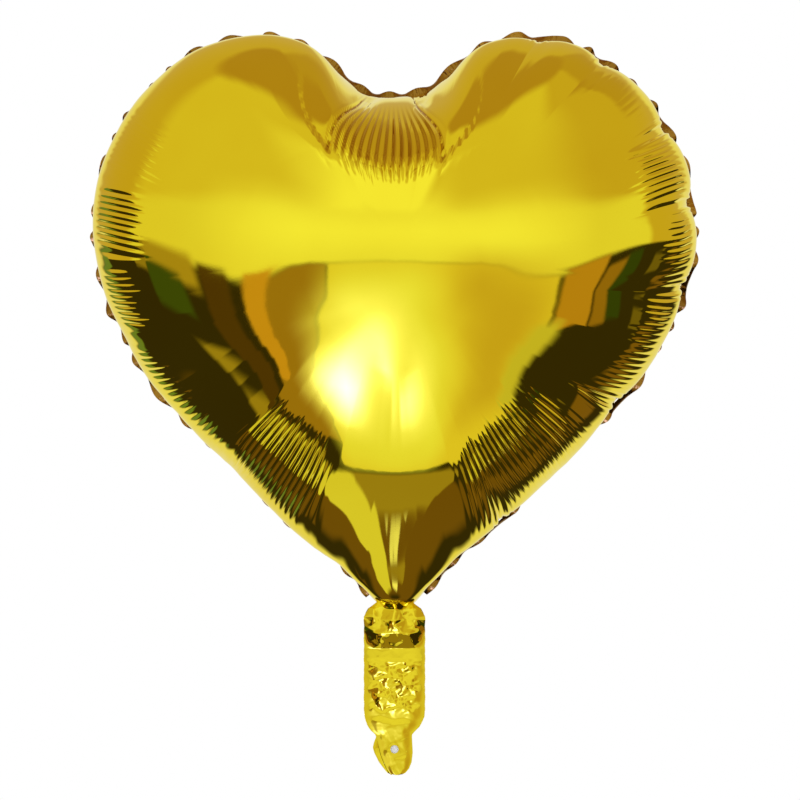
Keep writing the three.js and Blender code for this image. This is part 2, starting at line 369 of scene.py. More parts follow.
def new_mesh_object(name, points, faces):
    """A mesh object in the scene, from points in the scene's own units."""
    mesh = bpy.data.meshes.new(name)
    mesh.from_pydata([tuple(p) for p in points], [], [tuple(int(i) for i in f) for f in faces])
    mesh.update()
    obj = bpy.data.objects.new(name, mesh)
    bpy.context.scene.collection.objects.link(obj)
    return obj


def with_modifiers(obj):
    """An object as its modifiers leave it."""
    return obj.evaluated_get(bpy.context.evaluated_depsgraph_get())


def grid_faces(rows, columns, starts=None):
    """Faces of a grid of points stored row by row, one to the right of each starting column. A
    face that starts at the last column closes the grid round."""
    if starts is None:
        starts = range(columns - 1)
    corners = [(c, (c + 1) % columns) for c in starts]
    return [
        (r * columns + a, r * columns + b, (r + 1) * columns + b, (r + 1) * columns + a)
        for r in range(rows - 1)
        for a, b in corners
    ]


def without_loose(points, faces):
    """Points and faces without the points that no face uses."""
    used = np.unique([i for face in faces for i in face])
    index = np.full(len(points), -1)
    index[used] = np.arange(len(used))
    return points[used], [tuple(index[list(face)]) for face in faces]


def normals_of(points, faces, side):
    """Unit normals of a panel's points, outwards from the balloon."""
    obj = new_mesh_object("normals", points, faces)
    normals = np.array([v.normal[:] for v in obj.data.vertices])
    bpy.data.objects.remove(obj)
    return normals * -np.sign(normals[:, 1].sum() * side)


def shade_smooth(obj):
    """Smooth shading but for the sharpest edges."""
    obj.data.polygons.foreach_set("use_smooth", np.ones(len(obj.data.polygons), bool))
    obj.data.set_sharp_from_angle(angle=math.radians(SHARP_ANGLE))


def sheet_piece(name, node, slot, points, faces, thickness):
    """A piece made from a sheet of points in millimetres that is given its thickness for good. It
    takes the place of a CAD node."""
    obj = new_mesh_object(name, points * MM, faces)
    solid = obj.modifiers.new("thickness", "SOLIDIFY")
    solid.thickness = thickness * MM
    solid.offset = 0
    shell = bpy.data.meshes.new_from_object(with_modifiers(obj))
    obj.modifiers.clear()
    obj.data = shell
    shade_smooth(obj)
    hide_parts(node)
    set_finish(obj, slot)
    return obj


# ---- flat heart, sewn and inflated ----


def flat_seam():
    """The whole seam line of the flat heart as a closed loop, starting at the cleft."""
    right = catmull_rom(np.array(FLAT_HALF), CURVE_STEPS)
    left = right[::-1] * [-1, 1]
    return np.vstack([right, left[:-1]])


def triangular_grid(low, high, step):
    """Points of a triangular grid over a rectangle."""
    across = np.arange(low[0], high[0], step)
    rows = np.arange(low[1], high[1], step * math.sqrt(3) / 2)
    return np.vstack([
        np.column_stack([across + step / 2 * (i % 2), np.full(len(across), z)])
        for i, z in enumerate(rows)
    ])


def flat_sheet():
    """The flat heart as a graded triangle mesh: its points with the seam first, faces, seam count."""
    loop = flat_seam()
    _, length = even_loop(loop, 1)
    seam, _ = even_loop(loop, round(length / SEAM_STEP))
    rng = np.random.default_rng(3)
    scatter = [seam]
    nearest = SEAM_CLEARANCE * SEAM_STEP
    for scale, reach in BANDS:
        step = scale * SEAM_STEP
        grid = triangular_grid(seam.min(0) - step, seam.max(0) + step, step)
        grid += rng.uniform(-JITTER, JITTER, grid.shape) * step
        inside, distance = inside_and_distance(grid, seam)
        scatter.append(grid[inside & (distance > nearest) & (distance <= reach)])
        nearest = reach
    n = len(seam)
    edges = [(i, (i + 1) % n) for i in range(n)]
    points = [Vector(p) for p in np.vstack(scatter)]
    made = delaunay_2d_cdt(points, edges, [], 1, 1e-6)
    return np.array([tuple(v) for v in made[0]]), np.array([tuple(f) for f in made[2]]), n


def sewn_cloth(flat, faces, seam_count):
    """Two flat sheets and a flange, joined along the seam, as one mesh object. Its points are the
    front sheet's, the back sheet's but for the seam, and the flange's outer edge."""
    count = len(flat)
    front = np.insert(flat, 1, -SHEET_GAP, axis=1)
    front[:seam_count, 1] = 0
    back = front[seam_count:] * [1, -1, 1]
    seam = flat[:seam_count]
    run = np.r_[0, np.cumsum(np.linalg.norm(np.diff(seam, axis=0), axis=1))]
    rim = np.insert(seam + outward(seam) * FLANGE_WIDTH, 1, 0, axis=1)
    rim[:, 1] = SEAM_WAVE_HEIGHT * np.cos(2 * np.pi * run / SEAM_WAVE)
    first_rim = 2 * count - seam_count
    back_faces = np.where(faces < seam_count, faces, faces + count - seam_count)[:, ::-1]
    edge = [
        (i, (i + 1) % seam_count, first_rim + (i + 1) % seam_count, first_rim + i)
        for i in range(seam_count)
    ]
    all_faces = [*map(tuple, faces), *map(tuple, back_faces), *edge]
    cloth = new_mesh_object("cloth", np.vstack([front, back, rim]) * SIM_SCALE, all_faces)
    if sum(p.normal.y for p in cloth.data.polygons[: len(faces)]) > 0:
        cloth.data.flip_normals()
    return cloth


def inflate(flat, faces, seam_count):
    """Sews two flat sheets and a flange along the seam and inflates them. Returns the points of
    the front sheet and of the back sheet, in millimetres."""
    count = len(flat)
    first_rim = 2 * count - seam_count
    cloth = sewn_cloth(flat, faces, seam_count)
    pressed = cloth.vertex_groups.new(name="pressed")
    pressed.add(list(range(first_rim)), 1.0, "REPLACE")
    stiff = cloth.vertex_groups.new(name="stiff")
    stiff.add([*range(seam_count), *range(first_rim, first_rim + seam_count)], 1.0, "REPLACE")
    modifier = cloth.modifiers.new("inflate", "CLOTH")
    for name, value in CLOTH_SETTINGS.items():
        setattr(modifier.settings, name, value)
    modifier.settings.vertex_group_bending = stiff.name
    modifier.settings.vertex_group_pressure = pressed.name
    modifier.settings.effector_weights.gravity = 0
    modifier.collision_settings.use_collision = False
    modifier.point_cache.frame_start = 1
    modifier.point_cache.frame_end = SIM_FRAMES
    for step in range(1, SIM_FRAMES + 1):
        bpy.context.scene.frame_set(step)
    mesh = with_modifiers(cloth).to_mesh()
    points = np.empty(len(mesh.vertices) * 3)
    mesh.vertices.foreach_get("co", points)
    points = points.reshape(-1, 3) / SIM_SCALE
    bpy.data.objects.remove(cloth)
    bpy.context.scene.frame_set(1)
    return points[:count], np.vstack([points[:seam_count], points[count:first_rim]])


def refined(points, faces):
    """A mesh's points after one Catmull-Clark step, and its faces as triangles."""
    obj = new_mesh_object("refine", points, faces)
    obj.modifiers.new("refine", "SUBSURF").levels = 1
    mesh = with_modifiers(obj).to_mesh()
    fine = np.array([v.co[:] for v in mesh.vertices])
    quads = np.array([p.vertices[:] for p in mesh.polygons])
    bpy.data.objects.remove(obj)
    return fine, np.vstack([quads[:, [0, 1, 2]], quads[:, [0, 2, 3]]])


class FlatLookup:
    """Finds places of the flat pattern on the simulated mesh, for either panel."""

    def __init__(self, flat, faces, places):
        self.coarse = faces
        fine, triangles = refined(np.insert(flat, 1, 0, axis=1), faces)
        tree = BVHTree.FromPolygons([tuple(p) for p in fine], triangles.tolist())
        found = [tree.find_nearest((x, 0, z)) for x, z in places]
        self.corners = triangles[[f[2] for f in found]]
        a, b, c = (fine[self.corners[:, k]][:, [0, 2]] for k in range(3))
        p = np.array([f[0][:] for f in found])[:, [0, 2]]
        area = cross(b - a, c - a)
        u = cross(p - a, c - a) / area
        v = cross(b - a, p - a) / area
        self.weights = np.column_stack([1 - u - v, u, v])[:, :, None]

    def on(self, inflated):
        """The places' points on an inflated panel."""
        fine, _ = refined(inflated, self.coarse)
        return (fine[self.corners] * self.weights).sum(1)


# ---- final grid of a panel ----

# The stations round the seam of the flat heart, how far along it each is, how far along it the
# creases are, and its length.
Rim = namedtuple("Rim", "stations runs pinches length")


def heart_rim():
    """The rim, with its stations closer together beside each crease."""
    dense, length = even_loop(flat_seam(), SEAM_POINTS)
    angle = np.degrees(np.arctan2(*dense.T))
    run = np.arange(SEAM_POINTS) * length / SEAM_POINTS
    pinches = [run[np.argmin(np.abs(angle - crease))] for crease, _ in CREASES]
    near = sum(bump(run, pinch, CREASE_ZONE) for pinch in pinches)
    fine = (angle > FINE_ZONE[0]) & (angle < FINE_ZONE[1])
    step = STATION_STEP + (CREASE_STEP - STATION_STEP) * np.clip(1.6 * near + 0.8 * fine, 0, 1)
    count = np.r_[0, np.cumsum(length / SEAM_POINTS / step)]
    # Every eighth station is used by the innermost rings, so there is a multiple of eight.
    stations = 8 * round(count[-1] / 8)
    picks = np.interp(np.arange(stations) * count[-1] / stations, count, np.arange(len(count)))
    picks = picks.astype(int)
    return Rim(dense[picks], run[picks], np.array(pinches), length)


def bridge(here, n, there, m):
    """Faces between two rings of n and m points, of which n is m or twice m."""
    if n == m:
        return [(here + i, here + (i + 1) % n, there + (i + 1) % m, there + i) for i in range(n)]
    faces = []
    for i in range(m):
        a, b, c = here + 2 * i, here + 2 * i + 1, here + (2 * i + 2) % n
        d, e = there + i, there + (i + 1) % m
        faces += [(a, b, d), (b, e, d), (b, c, e)]
    return faces


class PolarGrid:
    """The flat heart as rings of points from the seam to the centre."""

    def __init__(self, rim, plan):
        places, shares, stations, self.counts = [], [], [], []
        share = 0.0
        for stride, step, rings in plan:
            for _ in range(rings):
                ring = rim.stations[::stride]
                places.append(ring * (1 - share))
                shares.append(np.full(len(ring), share))
                stations.append(np.arange(len(rim.stations))[::stride])
                self.counts.append(len(ring))
                share += step
        firsts = np.r_[0, np.cumsum(self.counts)]
        self.faces = []
        for here, there, n, m in zip(firsts, firsts[1:], self.counts, self.counts[1:]):
            self.faces += bridge(here, n, there, m)
        last, centre, n = firsts[-2], firsts[-1], self.counts[-1]
        self.faces += [(last + i, last + (i + 1) % n, centre) for i in range(n)]
        self.places = np.vstack(places + [np.zeros((1, 2))])
        self.shares = np.concatenate(shares + [np.ones(1)])
        self.runs = rim.runs[np.concatenate(stations + [np.zeros(1, int)])]
        self.angles = np.degrees(np.arctan2(*self.places.T))
        # How far in each point is from the seam. At the centre itself it is not needed.
        self.depths = self.shares * np.hypot(*self.places.T) / (1 - np.minimum(self.shares, 0.999))


def smoothed_rings(grid, points, length):
    """Each ring of the grid smoothed along the rim, more so further in, but only lightly at the
    cleft and the neck."""
    result = points.copy()
    first = 0
    for count in grid.counts:
        here = slice(first, first + count)
        angle = np.abs(grid.angles[here])
        wave = np.fft.fftfreq(count, length / count)
        waves = np.fft.fft(points[here], axis=0)
        further = RIM_SMOOTHING * (1 + SMOOTHING_GROWTH * grid.shares[first])
        lightly, fully = (
            np.fft.ifft(waves * np.exp(-2 * (np.pi * wave * reach) ** 2)[:, None], axis=0).real
            for reach in (CLEFT_SMOOTHING, further)
        )
        free = (rise(angle, 7, 14) * (1 - rise(angle, 163, 173)))[:, None]
        result[here] = lightly + (fully - lightly) * free
        first += count
    return result


def calmed(grid, points):
    """A panel whose middle is replaced by the polynomial surface that follows it best, since the
    foil there is taut and mirrors without a ripple."""
    u, v = grid.places.T / np.abs(grid.places).max()
    terms = np.column_stack([
        u**i * v**j for i in range(CALM_DEGREE + 1) for j in range(CALM_DEGREE + 1 - i)
    ])
    middle = grid.shares > CALM_START * 0.6
    fit = terms @ np.linalg.lstsq(terms[middle], points[middle], rcond=None)[0]
    return points + (fit - points) * rise(grid.shares, CALM_START, CALM_END)[:, None]


# ---- fit to the CAD heart ----


def outline_radii(points):
    """Furthest reach of points from the apex in each direction round it, seen from the front."""
    angle = np.arctan2(points[:, 0], points[:, 2] - APEX_Z)
    radius = np.hypot(points[:, 0], points[:, 2] - APEX_Z)
    slot = np.round(angle / (2 * np.pi) * OUTLINE_BINS).astype(int) % OUTLINE_BINS
    return np.array([radius[slot == k].max(initial=0) for k in range(OUTLINE_BINS)])


def cad_points(*names):
    """Points along the edges of some CAD nodes, in millimetres."""
    found = []
    for name in names:
        mesh = frame["nodes"][name].data
        points = np.array([v.co[:] for v in mesh.vertices]) / MM
        ends = np.array([e.vertices[:] for e in mesh.edges])
        along = np.linspace(0, 1, 5)[:, None, None]
        found.append((points[ends[:, 0]] * (1 - along) + points[ends[:, 1]] * along).reshape(-1, 3))
    return np.vstack(found)


def fitted_to_cad(sheets):
    """The inflated sheets, moved and gently warped to the outline and depth of the CAD heart."""
    everything = np.vstack(sheets)
    neck = everything[np.abs(everything[:, 0]) < NECK_HALF]
    lift = HEART_FOOT - neck[:, 2].min()
    middle = (everything[:, 0].max() + everything[:, 0].min()) / 2
    moved = [sheet + [-middle, 0, lift] for sheet in sheets]
    bins = np.arange(OUTLINE_BINS)
    from_cleft = np.abs((bins / OUTLINE_BINS * 360 + 180) % 360 - 180)
    inset = np.interp(from_cleft, *NECK_TAPER)
    wanted = outline_radii(cad_points("front_panel", "perimeter_seal")) - inset
    found = outline_radii(np.vstack(moved))
    ratio = wanted / found
    for _ in range(2):
        ratio = 0.25 * np.roll(ratio, 1) + 0.5 * ratio + 0.25 * np.roll(ratio, -1)
    middle_ratio = ratio.mean()
    knots = np.arange(OUTLINE_BINS + 1) * 2 * np.pi / OUTLINE_BINS
    depth = (HALF_DEPTH - RIM_INSET / 2) / np.abs(everything[:, 1]).max()
    result = []
    for sheet in moved:
        x, z = sheet[:, 0], sheet[:, 2] - APEX_Z
        angle = np.arctan2(x, z) % (2 * np.pi)
        reach = np.hypot(x, z) / np.interp(angle, knots, np.r_[found, found[:1]])
        grow = np.interp(angle, knots, np.r_[ratio, ratio[:1]]) - middle_ratio
        grow = middle_ratio + grow * rise(reach, *WARP_ZONE)
        height = z * grow + APEX_Z
        slim = 1 - NECK_SLIM * (1 - rise(height, *NECK_SLIM_ZONE))
        result.append(np.column_stack([x * grow, sheet[:, 1] * depth * slim, height]))
    return result


# ---- wrinkles ----


def bays(grid, rim):
    """How far each grid point stands out of the smooth foil: past the seam, in bays between the
    pinches and in the pinches' own creases."""
    edges = np.r_[rim.pinches[-1:] - rim.length, rim.pinches, rim.pinches[:1] + rim.length]
    bay = np.clip(np.searchsorted(edges, grid.runs, side="right") - 1, 0, len(edges) - 2)
    length = edges[bay + 1] - edges[bay]
    across = (grid.runs - edges[bay]) / length * 2 - 1
    off_cleft = rise(np.abs(grid.angles), *CLEFT_ZONE)
    # The ends of a bay dip a little below the smooth foil.
    arch = 1 - np.abs(across) ** BAY_ARCH - BAY_DIP
    fade = rise(grid.depths, 0, BAY_RISE) * (1 - rise(grid.depths, BAY_REACH * 0.35, BAY_REACH))
    height = BAY_HEIGHT * np.minimum(length, BAY_LONGEST) * arch * fade * (0.2 + 0.8 * off_cleft)
    past_seam = rise(grid.depths, 0, OVERHANG_RISE) * (1 - rise(grid.depths, *OVERHANG_FADE))
    height += OVERHANG * off_cleft * past_seam
    beside = (1 - np.abs(across)) * length / 2
    reaches = np.array([reach for _, reach in CREASES])[(bay + (across > 0) - 1) % len(CREASES)]
    pinch = (1 - rise(grid.depths, reaches * 0.3, reaches)) * off_cleft
    height -= PINCH_DEPTH * np.exp(-beside / PINCH_WIDTH) * pinch
    uneven = pinch * rise(grid.depths + 9 * np.sin(grid.runs * 1.9), -10, 25)
    ripple = uneven * np.cos(2 * np.pi * beside / PINCH_RIPPLE) * bump(beside, 0, PINCH_RIPPLE_ZONE)
    return height + PINCH_RIPPLE_HEIGHT * ripple


def washboards(grid, side):
    """Phase, in turns, and strength of the fine wrinkles across the bays."""
    drift = 1.3 * np.sin(grid.runs / 23 + side) + 0.9 * np.sin(grid.runs / 11 + 2 * side)
    turns = grid.runs / WASHBOARD_LENGTH + drift / (2 * np.pi)
    ragged = grid.depths + 5 * np.sin(grid.runs / 3.1) * np.sin(grid.runs / 7.7)
    strength = np.zeros(len(grid.runs))
    for centre, half, reach, amount in WASHBOARDS:
        here = 1 - rise(np.abs(grid.angles - side * centre), half * 0.75, half * 1.15)
        strength += amount * here * (1 - rise(ragged, reach * 0.75, reach))
    uneven = 0.8 + 0.2 * np.sin(grid.runs / 8.3 + grid.depths / 9 + side)
    return turns, strength * rise(grid.depths, *WASHBOARD_RISE) * uneven


def cleft_pillow(points, side):
    """Height of the pleated pillow below the cleft, with its pleats' phase, strength and how deep
    in a fold each point lies."""
    down = CLEFT_Z + FAN_RISE - points[:, 2]
    x = points[:, 0] * side
    angle, reach = np.degrees(np.arctan2(x, down)), np.hypot(x, down)
    below = down > 0
    left, right = FAN_EDGES
    half = (right - left) / 2
    half = half + FAN_BOW * bump(reach, (FAN_TOP + FAN_BOTTOM) / 2, (FAN_BOTTOM - FAN_TOP) / 2)
    across = (angle - (left + right) / 2) / half
    aside = np.abs(across)
    turns = across * PLEATS / 2
    ragged = reach + PLEAT_TIPS * np.cos(2 * np.pi * turns) + PILLOW_CORNERS * aside**2
    inside = (1 - rise(aside, 0.93, 1.02)) * below
    slope = np.clip((reach - FAN_TOP) / (FAN_BOTTOM - FAN_TOP), 0, 1)
    held = 1 - rise(ragged, FAN_BOTTOM - 3, FAN_BOTTOM + 1)
    dome = np.clip(1 - across**2, 0, 1) ** 0.5 * inside * held
    spread = bump(across, 0, APRON_SPREAD) * (1 - rise(reach, FAN_BOTTOM, FAN_BOTTOM + APRON))
    height = PILLOW_HEIGHT * slope**3 * (dome + APRON_SHARE * spread * (1 - held))
    beside = np.abs(aside - 1) * half * np.pi / 180 * reach
    ends = rise(reach, FAN_TOP - 4, FAN_TOP + 6) * (1 - rise(reach, FAN_BOTTOM - 8, FAN_BOTTOM + 4))
    groove = np.exp(-beside / PILLOW_GROOVE_WIDTH) * ends * below
    pleats = inside * held * rise(reach, FAN_TOP, FAN_TOP + PLEAT_RISE) * (1 - rise(aside, 0.85, 1))
    return height - PILLOW_GROOVE * groove, turns, pleats, np.maximum(pleats, 1.6 * groove)


# ---- heart ----


def panel(name, node, side, rim, grids, sheets):
    """One foil panel: its wrinkled outer skin, and the plainer lining that closes it at the rim."""
    outer, inner = grids
    outside, inside = sheets
    turns, strength = washboards(outer, side)
    pillow, pleat_turns, pleats, folds = cleft_pillow(outside, side)
    height = bays(outer, rim) + WASHBOARD_HEIGHT * strength * np.cos(2 * np.pi * turns)
    height += pillow + PLEAT_HEIGHT * pleats * shingled(pleat_turns)
    outside = outside + normals_of(outside, outer.faces, side) * height[:, None]
    height = bays(inner, rim) + cleft_pillow(inside, side)[0] - WALL * rise(inner.depths, -1, 9)
    inside = inside + normals_of(inside, inner.faces, side) * height[:, None]
    shift = len(outside)
    edge = [f[::-1] for f in bridge(0, outer.counts[0], shift, inner.counts[0])]
    lining = [tuple(i + shift for i in f[::-1]) for f in inner.faces]
    obj = new_mesh_object(name, np.vstack([outside, inside]) * MM, outer.faces + edge + lining)
    if sum(p.normal.y for p in obj.data.polygons[: len(outer.faces)]) * side > 0:
        obj.data.flip_normals()
    # The material draws the wrinkles' valleys by these as bumps, and paints shade into the pleats' valleys and the
    # pillow's grooves.
    pleated = folds > 0.01
    marks = {
        "turns": np.where(pleated, pleat_turns, turns),
        "pleats": strength * ~pleated,
        "folds": folds,
    }
    for label, values in marks.items():
        attribute = obj.data.attributes.new(label, "FLOAT", "POINT")
        attribute.data.foreach_set("value", np.r_[values, np.zeros(len(inside))].astype(np.float32))
    shade_smooth(obj)
    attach(obj, "balloon_body")
    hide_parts(node)
    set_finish(obj, "gold_foil")


def flange(seam, runs, angles):
    """The sealed edge that stands out round the seam, scalloped where the seam draws it in. It
    lies back where the heart runs down to the neck."""
    out = np.cross(loop_directions(seam), [0, 1, 0])
    out *= np.sign((out * (seam - [0, 0, APEX_Z])).sum())
    out[:, 1] = 0
    out /= np.linalg.norm(out, axis=1)[:, None]
    showing = 0.7 + 0.3 * rise(angles, 10, 30) - FLANGE_TUCK * rise(angles, 112, 138)
    drift = 1.1 * np.sin(runs / 31) + 0.8 * np.sin(runs / 13)
    wave = np.sin(2 * np.pi * runs / FLANGE_WAVE + drift)
    crimp = FLANGE_CRIMP_HEIGHT * np.sin(2 * np.pi * runs / FLANGE_CRIMP)
    rows = []
    for reach in np.linspace(-FLANGE_ROOT, FLANGE_WIDTH, FLANGE_ROWS):
        share = max(reach, 0) / FLANGE_WIDTH
        y = share * FLANGE_WAVE_HEIGHT * wave + FLANGE_LEAN * reach + crimp
        scallop = 1.0 - 0.28 * share * (1 + wave) + 0.08 * share * np.sin(runs / 47)
        row = seam + out * (reach * scallop * showing)[:, None]
        row[:, 1] += y
        rows.append(row)
    kept = angles < NECK_ANGLE
    faces = grid_faces(FLANGE_ROWS, len(seam), np.flatnonzero(kept & np.roll(kept, -1)))
    points, faces = without_loose(np.vstack(rows), faces)
    obj = sheet_piece("seal_flange", "perimeter_seal", "sealed_foil", points, faces, FLANGE_THICKNESS)
    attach(obj, "balloon_body")


def heart():
    """The two foil panels and the flange."""
    flat, faces, seam_count = flat_sheet()
    inflated = inflate(flat, faces, seam_count)
    rim = heart_rim()
    grids = [PolarGrid(rim, plan) for plan in (OUTER_RINGS, INNER_RINGS)]
    lookups = [FlatLookup(flat, faces, grid.places) for grid in grids]
    sheets = fitted_to_cad([
        calmed(grid, smoothed_rings(grid, lookup.on(sheet), rim.length))
        for sheet in inflated
        for grid, lookup in zip(grids, lookups)
    ])
    panel("front_foil", "front_panel", 1, rim, grids, sheets[:2])
    panel("back_foil", "back_panel", -1, rim, grids, sheets[2:])
    outermost = slice(grids[0].counts[0])
    seam = (sheets[0][outermost] + sheets[2][outermost]) / 2
    flange(seam, rim.runs, np.abs(grids[0].angles[outermost]))


# ---- tail ----


def tail_surface(across, z, side):
    """Points of one ply of the tail: across runs from -1 to 1, side is -1 in front and 1 behind."""
    left, right = (np.interp(z, *np.transpose(edge)) for edge in PLY_EDGES[side])
    x = (left + right) / 2 + across * (right - left) / 2
    # The facets are bent by two further folds, so that their creases aren't straight.
    px, pz = (x, z) if side < 0 else (x + BACK_SHIFT[0], z + BACK_SHIFT[1])
    warp = 2.2 * fold(px, pz, 0.9, 11, 0.3)
    bent = px + warp, pz + 1.7 * fold(px, pz, 2.3, 9, 0.1)
    crumple = sum(
        height * (fold(*bent, turn, length, shift) - 0.5) for height, turn, length, shift in CRUMPLE
    )
    pouch_start, pouch_end = POUCH_ZONE
    pouch = rise(z, *pouch_start) * (1 - rise(z, *pouch_end)) * (1 - rise(np.abs(x), *POUCH_EDGE))
    neck = rise(z, 86, 91)
    loose = 0.13 + 0.75 * pouch + 0.45 * neck + 0.3 * bump(z, 83, 7)
    # The lower edge of the pouch is jagged.
    jagged = z + (1.7 * fold(x, z, 0, 15, 0.1) + 0.11 * x) * bump(z, 38, 12)
    puff = np.interp(jagged, *np.transpose(TAIL_PROFILE))
    gather = 1.5 * rise(z, *GATHER_ZONE) * np.cos(2 * np.pi * (x + 0.4 * warp) / GATHER_LENGTH)
    corner = 1.5 * rise(z, 80, 92) * np.maximum(0, np.abs(x) - 11) / 7 * fold(x, z, 1.1, 9, 0.3)
    rounded = rise(1 - np.abs(across), 0, 0.6) * (1 - neck) + (1 - across**2) * neck
    y = side * (0.3 + np.maximum(puff + loose * crumple + gather - corner, 0.2) * rounded)
    notch = 0.5 * fold(pz, x, 0, 12, 0.5) * rise(z, 24, 44) * np.abs(across) ** 8
    return np.column_stack([x - np.sign(across) * notch, y, z])


def film_grid(across, heights, side):
    """Points and faces of one ply of the tail, or of a strip of it."""
    a, z = np.meshgrid(across, heights)
    return tail_surface(a.ravel(), z.ravel(), side), grid_faces(len(heights), len(across))


def with_hole(points, faces, centre, radius):
    """A ply with a round hole through it, whose nearest points are moved on to the hole's rim."""
    away = points[:, [0, 2]] - centre
    distance = np.hypot(*away.T)
    faces = [f for f in faces if distance[list(f)].mean() > radius]
    used = np.bincount(np.array(faces).ravel(), minlength=len(points))
    rim = (used > 0) & (used < 4) & (distance < radius + FILM_STEP * 1.5)
    points[rim, ::2] = centre + away[rim] / distance[rim, None] * radius
    return without_loose(points, faces)


def seal_strip(rim, heights):
    """A side seal, which lies flat along the edge of the front ply and is faintly ribbed."""
    points, faces = film_grid(rim, heights, -1)
    points[:, 1] = SEAL_RIB_HEIGHT * np.sin(points[:, 2] * 2 * np.pi / SEAL_RIB)
    return points, faces


def valve_tube(heights):
    """The clear flat tube of the fill valve between the plies, open at both ends."""
    t, z = np.meshgrid(np.linspace(0, 2 * np.pi, VALVE_POINTS, endpoint=False), heights)
    t, z = t.ravel(), z.ravel()
    half = np.interp(z, (VALVE_END, SKIRT_Z), VALVE_HALF)
    depth = np.interp(z, (SKIRT_Z, TONGUE_Z), VALVE_DEPTH) * (1 + 0.25 * np.sin(z / 3.1))
    x = half * np.cos(t)
    y = depth * np.sin(t) + 0.12 * np.sin(x * 0.9 + z / 4)
    faces = grid_faces(len(heights), VALVE_POINTS, range(VALVE_POINTS))
    return np.column_stack([x, y, z]), faces


def tail_length(name, top, bottom):
    """The pieces of one length of the tail: its two plies, two side seals and valve tube."""
    across = np.linspace(-1, 1, round(2 * TAIL_HALF / FILM_STEP) + 1)
    heights = np.linspace(top, bottom, round((top - bottom) / FILM_STEP) + 1)
    pieces = []
    for ply, side in (("front", -1), ("back", 1)):
        points, faces = film_grid(across, heights, side)
        if name == "tongue":
            points, faces = with_hole(points, faces, FILL_HOLE, FILL_HOLE_RADIUS)
        names = f"{name}_{ply}_film", f"{name}_{ply}_ply"
        pieces.append(sheet_piece(*names, "gold_foil", points, faces, FILM))
    for hand, sign in (("left", -1), ("right", 1)):
        rim = sign * np.linspace(1 - SIDE_SEAL / TAIL_HALF, SEAL_OVERLAP, SEAL_COLUMNS)
        sheet = seal_strip(rim, heights[heights > SKIRT_Z - 1])
        names = f"{name}_{hand}_seal", f"{name}_seal_{hand}"
        pieces.append(sheet_piece(*names, "sealed_foil", *sheet, SEAL_THICKNESS))
    names = f"{name}_valve_film", "valve_mouth" if name == "tongue" else f"{name}_valve_tube"
    sheet = valve_tube(heights[heights > VALVE_END])
    pieces.append(sheet_piece(*names, "clear_film", *sheet, VALVE_FILM))
    return pieces


def tail():
    """The fill tail in three lengths, each of which spans one joint."""
    lengths = (
        ("neck", TAIL_TOP, NECK_CUT, "balloon_body", "tail_neck", NECK_Z),
        ("pouch", NECK_CUT, POUCH_CUT, "tail_neck", "tail_pouch", POUCH_Z),
        ("tongue", POUCH_CUT, TAIL_END, "tail_pouch", "tail_tongue", TONGUE_Z),
    )
    for name, top, bottom, upper, lower, joint in lengths:
        for piece in tail_length(name, top, bottom):
            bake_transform(piece)


heart()
tail()


# ---- materials ----

GOLD = (0.94, 0.78, 0.025, 1)
DEEP_GOLD = (0.9, 0.71, 0.02, 1)
TAIL_SHADED_GOLD = (0.8, 0.61, 0.018, 1)  # the tail is thinner film and mirrors less brightly; this darker, more orange gold is also painted shade for the dark room below that its crumpled facets mirror
FOLD_SHADE_GOLD = (0.48, 0.25, 0.006, 1)  # painted shade: between two pleats the foil mirrors itself, and this darker gold stands in for that
# The sealed edge's dark brown is partly the sealed film's own tone and partly painted shade, standing in for the
# dark room that its leaning face mirrors.
SEALED_GOLD_AND_SHADE = (0.4, 0.2, 0.02, 1)
DEEP_SEALED_AND_SHADE = (0.16, 0.07, 0.008, 1)
FILM_CLOUD, FILM_CLEAR = (0.86, 0.9, 0.93, 1), (0.97, 0.98, 1, 1)
FLOOR_SHADES = (0.8, 0.8, 0.79, 1), (0.84, 0.84, 0.83, 1)


def set_inputs(tree, node, inputs):
    """Sets a node's inputs, each to a value or to another node's output."""
    for name, value in inputs.items():
        if isinstance(value, bpy.types.NodeSocket):
            tree.links.new(value, node.inputs[name])
        else:
            node.inputs[name].default_value = value


def add_node(tree, kind, inputs, **settings):
    """A node with its settings and its inputs."""
    node = tree.nodes.new("ShaderNode" + kind)
    for name, value in settings.items():
        setattr(node, name, value)
    set_inputs(tree, node, inputs)
    return node


def math_node(tree, operation, *values):
    """The result of a Math node."""
    return add_node(tree, "Math", dict(enumerate(values)), operation=operation).outputs[0]


def new_material(name):
    """A material, its node tree and its shader."""
    material = bpy.data.materials.new(name)
    material.use_nodes = True
    tree = material.node_tree
    return material, tree, tree.nodes["Principled BSDF"]


def object_place(tree):
    """Each point's place in the piece."""
    return add_node(tree, "TexCoord", {}).outputs["Object"]


def point_mark(tree, name):
    """The value that each point of a mesh was given under a name."""
    return add_node(tree, "Attribute", {}, attribute_name=name).outputs["Fac"]


def noise(tree, place, scale, detail=3.0):
    """Cloudy noise."""
    return add_node(tree, "TexNoise", {"Vector": place, "Scale": scale, "Detail": detail}).outputs["Fac"]


def mapped(tree, value, low, high, start=0.0, end=1.0, **settings):
    """value, of which start to end becomes low to high."""
    limits = {"From Min": start, "From Max": end, "To Min": low, "To Max": high, "Value": value}
    return add_node(tree, "MapRange", limits, **settings).outputs[0]


def colour_mix(tree, share, first, second):
    """A colour between two others, each given as values or as another node's output."""
    # The inputs of a Mix node share their names, so the colours go by number.
    return add_node(tree, "Mix", {"Factor": share, 6: first, 7: second}, data_type="RGBA").outputs[2]


def bumped(tree, height, distance, under=None):
    """A bump whose height is in millimetres, laid over another."""
    inputs = {"Height": height, "Distance": distance * MM}
    if under is not None:
        inputs["Normal"] = under
    return add_node(tree, "Bump", inputs).outputs["Normal"]


